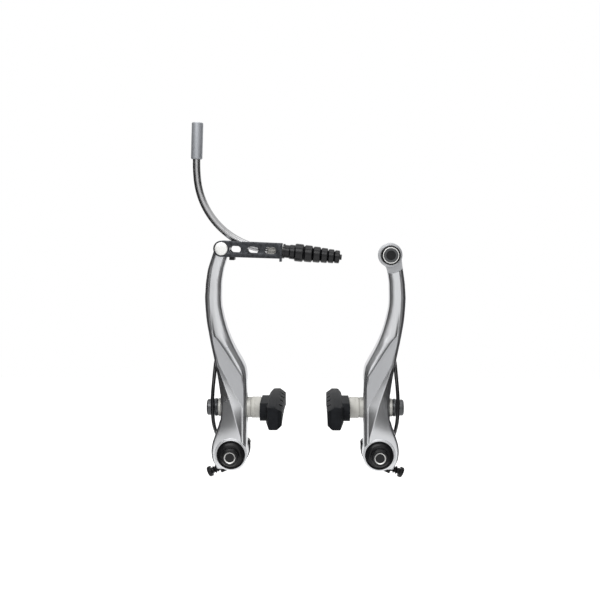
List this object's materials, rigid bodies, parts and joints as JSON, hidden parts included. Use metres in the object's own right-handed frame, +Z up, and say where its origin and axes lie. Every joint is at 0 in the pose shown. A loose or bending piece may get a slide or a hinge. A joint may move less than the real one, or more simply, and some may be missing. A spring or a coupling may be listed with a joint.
{
  "type": "linear-pull rim brake",
  "caption": "Linear-pull rim brake: two pivoting arms with side springs and grooved pads, joined by a slotted link and a bent cable pipe with a bellows boot.",
  "frame": {"origin": "midway between the two pivot axes, at the shoulder of the frame bosses", "axes": "+X to the right as seen from the front, +Y back to the frame, +Z up"},
  "size_m": [0.1163, 0.07, 0.1946],
  "materials": {
    "arm_aluminium": "anodised silver, satin",
    "bright_steel": "zinc plated, bright",
    "dark_steel": "dark grey phosphated steel",
    "black_steel": "black oxide",
    "spring_wire": "black coated spring wire",
    "black_plastic": "moulded, matte",
    "pad_rubber": "charcoal brake compound",
    "cream_plastic": "moulded, natural colour",
    "polished_steel": "polished pipe",
    "ferrule_grey": "blasted, matte grey",
    "boot_rubber": "black rubber"
  },
  "bodies": {
    "base": {"left_pivot_sleeve": "bright_steel", "right_pivot_sleeve": "bright_steel", "left_fixing_bolt": "black_steel", "right_fixing_bolt": "black_steel", "left_dust_ring": "black_plastic", "right_dust_ring": "black_plastic", "left_spring_housing": "black_plastic", "right_spring_housing": "black_plastic", "left_return_spring": "spring_wire", "right_return_spring": "spring_wire"},
    "left_arm": {"left_arm": "arm_aluminium"},
    "right_arm": {"right_arm": "arm_aluminium", "anchor_bolt": "black_steel", "anchor_plate": "dark_steel"},
    "link": {"cable_link": "dark_steel", "link_pin": "polished_steel", "link_pin_ring": "bright_steel", "link_stop": "black_plastic"},
    "noodle": {"noodle_nose": "bright_steel", "noodle_pipe": "polished_steel", "noodle_liner": "cream_plastic", "housing_ferrule": "ferrule_grey", "noodle_boot": "boot_rubber"},
    "left_shoe_carrier": {"left_inner_cup_washer": "bright_steel", "left_outer_cup_washer": "bright_steel"},
    "left_shoe": {"left_brake_pad": "pad_rubber", "left_shoe_stud": "bright_steel", "left_spacer_washer": "cream_plastic", "left_outer_dome_washer": "dark_steel", "left_flat_washer": "dark_steel", "left_shoe_nut": "dark_steel"},
    "left_tension_screw": {"left_tension_screw": "black_steel"},
    "right_shoe_carrier": {"right_inner_cup_washer": "bright_steel", "right_outer_cup_washer": "bright_steel"},
    "right_shoe": {"right_brake_pad": "pad_rubber", "right_shoe_stud": "bright_steel", "right_spacer_washer": "cream_plastic", "right_outer_dome_washer": "dark_steel", "right_flat_washer": "dark_steel", "right_shoe_nut": "dark_steel"},
    "right_tension_screw": {"right_tension_screw": "black_steel"}
  },
  "joints": [
    {"name": "left_arm_pivot", "type": "hinge", "parent": "base", "child": "left_arm", "pos_m": [-0.04, -0.014, 0], "axis": [0, 1, 0], "range_deg": [-20, 4], "stiffness_Nm_per_rad": 1.5, "deforming": ["left_return_spring"]},
    {"name": "right_arm_pivot", "type": "hinge", "parent": "base", "child": "right_arm", "pos_m": [0.04, -0.014, 0], "axis": [0, 1, 0], "range_deg": [-4, 20], "stiffness_Nm_per_rad": 1.5, "deforming": ["right_return_spring"]},
    {"name": "left_shoe_height", "type": "slide", "parent": "left_arm", "child": "left_shoe_carrier", "axis": [0, 0, 1], "range_m": [-0.005, 0.005]},
    {"name": "left_shoe_turn", "type": "hinge", "parent": "left_shoe_carrier", "child": "left_shoe", "pos_m": [-0.04, -0.0122, 0.0244], "axis": [1, 0, 0], "range_deg": [-15, 15]},
    {"name": "left_tension_turn", "type": "hinge", "parent": "base", "child": "left_tension_screw", "pos_m": [-0.0462, -0.004, -0.0106], "axis": [-0.9135, 0, -0.4067], "continuous": true},
    {"name": "right_shoe_height", "type": "slide", "parent": "right_arm", "child": "right_shoe_carrier", "axis": [0, 0, 1], "range_m": [-0.005, 0.005]},
    {"name": "right_shoe_turn", "type": "hinge", "parent": "right_shoe_carrier", "child": "right_shoe", "pos_m": [0.04, -0.0122, 0.0244], "axis": [1, 0, 0], "range_deg": [-15, 15]},
    {"name": "right_tension_turn", "type": "hinge", "parent": "base", "child": "right_tension_screw", "pos_m": [0.0462, -0.004, -0.0106], "axis": [0.9135, 0, -0.4067], "continuous": true},
    {"name": "link_pivot", "type": "hinge", "parent": "left_arm", "child": "link", "pos_m": [-0.0446, -0.014, 0.111], "axis": [0, 1, 0], "range_deg": [-40, 0]},
    {"name": "noodle_swivel", "type": "hinge", "parent": "link", "child": "noodle", "pos_m": [-0.01352, -0.014, 0.10981], "axis": [0.9945, 0, -0.1045], "range_deg": [-20, 20]}
  ]
}
